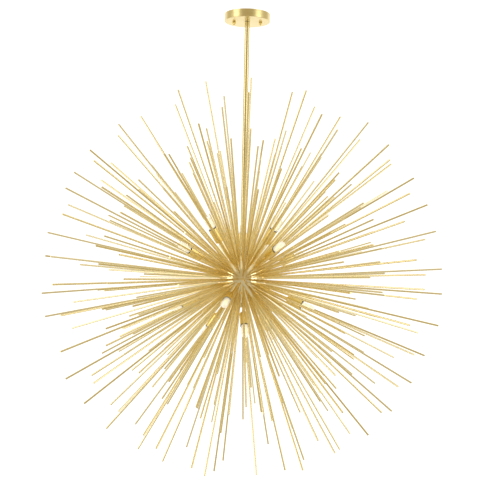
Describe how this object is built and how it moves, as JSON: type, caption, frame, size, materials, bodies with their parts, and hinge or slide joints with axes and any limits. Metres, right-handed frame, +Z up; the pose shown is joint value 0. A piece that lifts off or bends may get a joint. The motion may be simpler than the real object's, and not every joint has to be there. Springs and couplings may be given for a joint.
{
  "type": "starburst pendant chandelier",
  "caption": "Starburst pendant chandelier: long and short gold rods and candle lamps in short cups radiate from a ball that hangs on a stem from a round canopy.",
  "frame": {"origin": "ceiling plane, on the axis of the canopy", "axes": "+Z up along the stem; -Y towards the front; +X to the right seen from the front"},
  "size_m": [1.087, 1.0896, 1.2753],
  "materials": {
    "gold": "satin gold plate",
    "steel": "zinc plated",
    "green": "green passivated",
    "glass": "clear, warm"
  },
  "bodies": {
    "mount": {"mounting_crossbar": "steel", "mounting_stud_left": "steel", "mounting_stud_right": "steel", "canopy": "gold", "cap_nut_left": "gold", "cap_nut_right": "gold", "ground_screw": "green", "swivel_yoke": "steel"},
    "swivel": {"swivel_block": "steel"},
    "fork": {"stem_fork": "gold"},
    "pendant": {"stem_upper": "gold", "stem_nipple": "steel", "stem_lower": "gold", "ball_top_collar": "gold", "ball_hub": "steel", "ball_bottom_finial": "gold", "rods_upper_waist_1": "gold", "rods_upper_waist_2": "gold", "rods_upper_waist_3": "gold", "rods_upper_waist_4": "gold", "rods_upper_shoulder_1": "gold", "rods_upper_shoulder_2": "gold", "rods_upper_shoulder_3": "gold", "rods_upper_pole": "gold", "rods_lower_waist_1": "gold", "rods_lower_waist_2": "gold", "rods_lower_waist_3": "gold", "rods_lower_waist_4": "gold", "rods_lower_shoulder_1": "gold", "rods_lower_shoulder_2": "gold", "rods_lower_shoulder_3": "gold", "rods_lower_pole": "gold", "lamp_holder_01": "gold", "lamp_holder_02": "gold", "lamp_holder_03": "gold", "lamp_holder_04": "gold", "lamp_holder_05": "gold", "lamp_holder_06": "gold", "lamp_holder_07": "gold", "lamp_holder_08": "gold", "lamp_holder_09": "gold", "lamp_holder_10": "gold", "lamp_holder_11": "gold", "lamp_holder_12": "gold", "lamp_holder_13": "gold", "lamp_holder_14": "gold"},
    "bulb_01": {"bulb_01": "glass"},
    "bulb_02": {"bulb_02": "glass"},
    "bulb_03": {"bulb_03": "glass"},
    "bulb_04": {"bulb_04": "glass"},
    "bulb_05": {"bulb_05": "glass"},
    "bulb_06": {"bulb_06": "glass"},
    "bulb_07": {"bulb_07": "glass"},
    "bulb_08": {"bulb_08": "glass"},
    "bulb_09": {"bulb_09": "glass"},
    "bulb_10": {"bulb_10": "glass"},
    "bulb_11": {"bulb_11": "glass"},
    "bulb_12": {"bulb_12": "glass"},
    "bulb_13": {"bulb_13": "glass"},
    "bulb_14": {"bulb_14": "glass"}
  },
  "joints": [
    {"name": "swivel_tilt_x", "type": "hinge", "parent": "mount", "child": "swivel", "pos_m": [0, 0, -0.0154], "axis": [1, 0, 0], "range_deg": [-8, 8]},
    {"name": "swivel_tilt_y", "type": "hinge", "parent": "swivel", "child": "fork", "pos_m": [0, 0, -0.0154], "axis": [0, 1, 0], "range_deg": [-8, 8]},
    {"name": "stem_turn", "type": "hinge", "parent": "fork", "child": "pendant", "pos_m": [0, 0, -0.032], "axis": [0, 0, 1], "range_deg": [-170, 170]},
    {"name": "bulb_01_out", "type": "slide", "parent": "pendant", "child": "bulb_01", "axis": [-0.7835, -0.4896, 0.3827], "range_m": [0, 0.025]},
    {"name": "bulb_02_out", "type": "slide", "parent": "pendant", "child": "bulb_02", "axis": [0.4896, -0.7835, 0.3827], "range_m": [0, 0.025]},
    {"name": "bulb_03_out", "type": "slide", "parent": "pendant", "child": "bulb_03", "axis": [0.7835, 0.4896, 0.3827], "range_m": [0, 0.025]},
    {"name": "bulb_04_out", "type": "slide", "parent": "pendant", "child": "bulb_04", "axis": [-0.4896, 0.7835, 0.3827], "range_m": [0, 0.025]},
    {"name": "bulb_05_out", "type": "slide", "parent": "pendant", "child": "bulb_05", "axis": [-0.2078, -0.9002, -0.3827], "range_m": [0, 0.025]},
    {"name": "bulb_06_out", "type": "slide", "parent": "pendant", "child": "bulb_06", "axis": [0.9002, -0.2078, -0.3827], "range_m": [0, 0.025]},
    {"name": "bulb_07_out", "type": "slide", "parent": "pendant", "child": "bulb_07", "axis": [0.2078, 0.9002, -0.3827], "range_m": [0, 0.025]},
    {"name": "bulb_08_out", "type": "slide", "parent": "pendant", "child": "bulb_08", "axis": [-0.9002, 0.2078, -0.3827], "range_m": [0, 0.025]},
    {"name": "bulb_09_out", "type": "slide", "parent": "pendant", "child": "bulb_09", "axis": [0.509, -0.2939, 0.809], "range_m": [0, 0.025]},
    {"name": "bulb_10_out", "type": "slide", "parent": "pendant", "child": "bulb_10", "axis": [0, 0.5878, 0.809], "range_m": [0, 0.025]},
    {"name": "bulb_11_out", "type": "slide", "parent": "pendant", "child": "bulb_11", "axis": [-0.509, -0.2939, 0.809], "range_m": [0, 0.025]},
    {"name": "bulb_12_out", "type": "slide", "parent": "pendant", "child": "bulb_12", "axis": [0.0614, -0.5846, -0.809], "range_m": [0, 0.025]},
    {"name": "bulb_13_out", "type": "slide", "parent": "pendant", "child": "bulb_13", "axis": [0.4755, 0.3455, -0.809], "range_m": [0, 0.025]},
    {"name": "bulb_14_out", "type": "slide", "parent": "pendant", "child": "bulb_14", "axis": [-0.537, 0.2391, -0.809], "range_m": [0, 0.025]}
  ]
}
